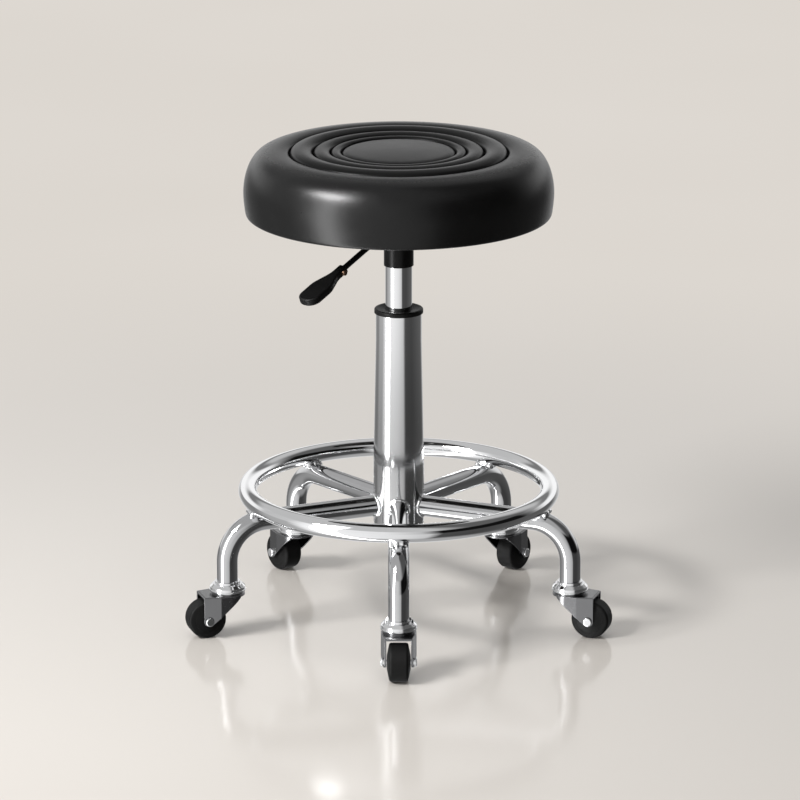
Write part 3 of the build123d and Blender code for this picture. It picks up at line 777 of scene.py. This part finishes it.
# %% Weld helper
LEG_TURNS = [math.radians(-90 + 360 / LEG_COUNT * number) for number in range(LEG_COUNT)]
LEG_RADIUS = 11 * MM


def add_pools(shape, spots, radius, turn, unevenness):
    for number, spot in enumerate(spots):
        size = radius * (1 + unevenness * math.sin(2.1 * number + 3 * turn))
        matrix = Matrix.Rotation(turn, 4, "Z") @ Matrix.Translation(spot)
        bmesh.ops.create_icosphere(shape, subdivisions=2, radius=size, matrix=matrix)


def fuse_pools(name, shape, voxel, passes):
    rough = make_piece(name + "_pools", shape, chrome)
    fuse = rough.modifiers.new("fuse", "REMESH")
    fuse.mode = "VOXEL"
    fuse.voxel_size = voxel
    relax = rough.modifiers.new("relax", "SMOOTH")
    relax.iterations = passes
    relax.factor = 0.5
    graph = bpy.context.evaluated_depsgraph_get()
    mesh = bpy.data.meshes.new_from_object(rough.evaluated_get(graph))
    bpy.data.objects.remove(rough)
    mesh.name = name
    mesh.materials.clear()
    mesh.materials.append(chrome)
    for face in mesh.polygons:
        face.use_smooth = True
    piece = bpy.data.objects.new(name, mesh)
    scene.collection.objects.link(piece)
    return piece


print("legs at", [round(math.degrees(turn)) for turn in LEG_TURNS], "degrees")

# %% Ring welds
RING_RADIUS = 158.5 * MM
RING_GAP = 0.5 * MM
RING_POOLS = [number * 1.9 * MM for number in range(-4, 5)]
RING_POOL_RADIUS = 2.9 * MM
RING_POOL_REACH = 4.6 * MM
RING_POOL_RISE = 1.0 * MM
leg_top_at_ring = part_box("foot_ring")[0].z - RING_GAP


def ring_weld_spots():
    spots = []
    for side in (-1, 1):
        for across in RING_POOLS:
            drop = LEG_RADIUS - math.sqrt(LEG_RADIUS**2 - across**2)
            reach = RING_RADIUS + side * (RING_POOL_REACH - 0.2 * drop)
            height = leg_top_at_ring + RING_POOL_RISE - 0.7 * drop
            spots.append(Vector((reach, across, height)))
    return spots


shape = bmesh.new()
for turn in LEG_TURNS:
    add_pools(shape, ring_weld_spots(), RING_POOL_RADIUS, turn, unevenness=0.14)
ring_beads = fuse_pools("ring_beads", shape, voxel=0.6 * MM, passes=5)
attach(ring_beads, "base")
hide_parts("ring_welds")
print("ring welds", len(ring_beads.data.polygons), "faces")

# %% Column welds
COLUMN_FOOT_RADIUS = 26.5 * MM
LEG_AT_COLUMN = 124.858 * MM
COLUMN_POOLS = 40
COLUMN_POOL_RADIUS = 1.9 * MM
COLUMN_POOL_REACH = 0.4 * MM


def column_weld_spots():
    spots = []
    for number in range(COLUMN_POOLS):
        angle = math.tau * number / COLUMN_POOLS
        across = LEG_RADIUS * math.cos(angle)
        reach = math.sqrt(COLUMN_FOOT_RADIUS**2 - across**2) + COLUMN_POOL_REACH
        spots.append(Vector((reach, across, LEG_AT_COLUMN + LEG_RADIUS * math.sin(angle))))
    return spots


shape = bmesh.new()
for turn in LEG_TURNS:
    add_pools(shape, column_weld_spots(), COLUMN_POOL_RADIUS, turn, unevenness=0.08)
column_beads = fuse_pools("column_beads", shape, voxel=0.5 * MM, passes=7)
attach(column_beads, "base")
print("column welds", len(column_beads.data.polygons), "faces")

# %% [markdown]
# ## Floor
# The stool stands on a plain pale floor with a soft gloss, which shows a faint image of the legs.
# It fills the whole picture, because the eye looks down on it. Lamps light only the floor near the
# stool, so further away the colour is given straight to the camera, and the stool's shadow stays
# on the near part.

# %% Floor
FLOOR_SIZE = 40
PALE = (0.70, 0.66, 0.61, 1)
PALER = (0.745, 0.705, 0.66, 1)
FLOOR_SHINE = 0.45
LIT_REACH = 0.4
UNLIT_REACH = 1.6


def make_floor_finish():
    material, board = new_finish("pale_floor")
    place = board.place()
    clouds = board.noise(place, 1.2, 2)
    tone = board.mix(clouds, PALE, PALER)
    near = board.add(
        "BsdfPrincipled",
        {},
        {
            "Base Color": tone,
            "Roughness": board.clamp(0.10 + 0.05 * clouds),
            "Specular IOR Level": FLOOR_SHINE,
        },
    )
    far = board.add("Emission", {}, {"Color": tone, "Strength": 1.0})
    reach = board.add("VectorMath", {"operation": "LENGTH"}, {0: place}, out="Value")
    seen = board.add("LightPath", out="Is Camera Ray")
    share = seen * board.step(reach, LIT_REACH, UNLIT_REACH)
    surface = board.add("MixShader", {}, {0: share, 1: near, 2: far})
    board.add("OutputMaterial", {}, {"Surface": surface})
    return material


shape = bmesh.new()
bmesh.ops.create_grid(shape, x_segments=1, y_segments=1, size=FLOOR_SIZE / 2)
floor = make_piece("floor", shape, make_floor_finish(), smooth=False)
floor.visible_glossy = False
print("floor", FLOOR_SIZE, "m wide")

# %% [markdown]
# ## Light
# A wide, low window lamp stands at the front left. It puts a highlight on the seat's shoulder and a
# shadow to the right. A weaker panel hangs overhead, and glossy rays don't see it,
# so it lights the seat's top without a veil.

# %% Lamps
def add_lamp(name, turn, tilt, distance, size, power, aim):
    lamp = bpy.data.lights.new(name, "AREA")
    lamp.shape = "RECTANGLE"
    lamp.size, lamp.size_y = size
    lamp.energy = power
    piece = bpy.data.objects.new(name, lamp)
    away = Vector(
        (
            math.sin(math.radians(turn)) * math.cos(math.radians(tilt)),
            -math.cos(math.radians(turn)) * math.cos(math.radians(tilt)),
            math.sin(math.radians(tilt)),
        )
    )
    piece.location = Vector((0, 0, aim)) + away * distance
    piece.rotation_euler = away.to_track_quat("Z", "Y").to_euler()
    scene.collection.objects.link(piece)
    return piece


add_lamp("window", turn=-56, tilt=34, distance=2.3, size=(0.9, 0.28), power=48, aim=0.35)
overhead = add_lamp(
    "overhead", turn=-15, tilt=80, distance=2.2, size=(1.6, 1.2), power=8, aim=0.3
)
overhead.visible_glossy = False

# %% [markdown]
# ## What the chrome sees
# Chrome is only as good as what it reflects. Dull surfaces get an even sky, and glossy rays get a
# drawn studio instead: a tall white window at the left of the front, a dark side at its right, a
# pale wall behind, a grey ceiling and a floor that repeats the sides. An upright tube mirrors the
# floor as bands along its length, and a level tube mirrors ceiling, wall and floor one above the
# other. The drawing depends only on the ray's direction, so it stays put when the stool turns. The
# camera itself sees the floor's pale colour beyond the floor's end, so a low view has no horizon.

# %% Sky
FLOOR_BANDS = [
    (-180, 0.80),
    (-166, 0.70),
    (-150, 0.28),
    (-124, 0.22),
    (-108, 0.42),
    (-86, 0.45),
    (-70, 1.00),
    (-24, 0.92),
    (0, 0.80),
    (22, 0.62),
    (31, 0.07),
    (66, 0.06),
    (100, 0.09),
    (138, 0.12),
    (156, 0.50),
    (180, 0.80),
]
WALL_BANDS = [
    (-180, 1.00),
    (-128, 0.90),
    (-112, 0.55),
    (-86, 0.60),
    (-70, 1.00),
    (-10, 0.85),
    (16, 0.55),
    (30, 0.006),
    (98, 0.006),
    (120, 0.35),
    (138, 0.90),
    (180, 1.00),
]
CEILING_BANDS = [(-180, 0.54), (28, 0.54), (58, 0.11), (112, 0.11), (140, 0.54), (180, 0.54)]
WINDOW_BAND = [(-180, 0), (-66, 0), (-59, 1), (-51, 1), (-44, 0), (180, 0)]
WINDOW_LEVEL = 8.5
BACK_FADE = [(0.0, 1.0), (0.26, 1.0), (0.32, 0.75), (0.38, 0.20), (1.0, 0.20)]
UNDER_STOOL = 0.40
UNDER_EDGE = -0.72, -0.95
BACK_EDGE = 0.3, 0.75
HORIZON_EDGE = -0.04, 0.04
CEILING_EDGE = 0.45, 0.56
WINDOW_TOP = 0.86, 0.72
EVEN_LIGHT = grey(0.41, 0.01)
BACKDROP = (0.722, 0.682, 0.635, 1)


def draw_bands(board, turn, bands):
    stops = [((angle + 180) / 360, level) for angle, level in bands]
    return board.add("ValToRGB", {"stops": stops}, {0: turn})


world = bpy.data.worlds.new("studio")
scene.world = world
world.use_nodes = True
sky = Board(world.node_tree)
direction = sky.add("TexCoord", out="Generated")
east = sky.add("SeparateXYZ", {}, {0: direction}, out="X")
north = sky.add("SeparateXYZ", {}, {0: direction}, out="Y")
height = sky.add("SeparateXYZ", {}, {0: direction}, out="Z")
turn = sky.maths("ARCTAN2", east, 0 - north) / math.tau + 0.5
under = sky.step(height, *UNDER_EDGE)
ground = sky.mix(under, draw_bands(sky, turn, FLOOR_BANDS), grey(UNDER_STOOL))
fade = sky.add("ValToRGB", {"stops": BACK_FADE}, {0: height})
sides = sky.mix(sky.step(north, *BACK_EDGE), draw_bands(sky, turn, WALL_BANDS), fade)
wall = sky.mix(sky.step(height, *HORIZON_EDGE), ground, sides)
room = sky.mix(sky.step(height, *CEILING_EDGE), wall, draw_bands(sky, turn, CEILING_BANDS))
window = draw_bands(sky, turn, WINDOW_BAND) * sky.step(height, *WINDOW_TOP)
glossy = sky.add("LightPath", out="Is Glossy Ray")
even = sky.add("Background", {}, {"Color": EVEN_LIGHT, "Strength": 1.0})
drawn = sky.add("Background", {}, {"Color": room + WINDOW_LEVEL * window, "Strength": 1.0})
light = sky.add("MixShader", {}, {0: glossy, 1: even, 2: drawn})
seen = sky.add("LightPath", out="Is Camera Ray")
backdrop = sky.add("Background", {}, {"Color": BACKDROP, "Strength": 1.0})
view = sky.add("MixShader", {}, {0: seen, 1: light, 2: backdrop})
sky.add("OutputWorld", {}, {"Surface": view})
print("sky", world.name, "with", len(FLOOR_BANDS) + len(WALL_BANDS), "bands")
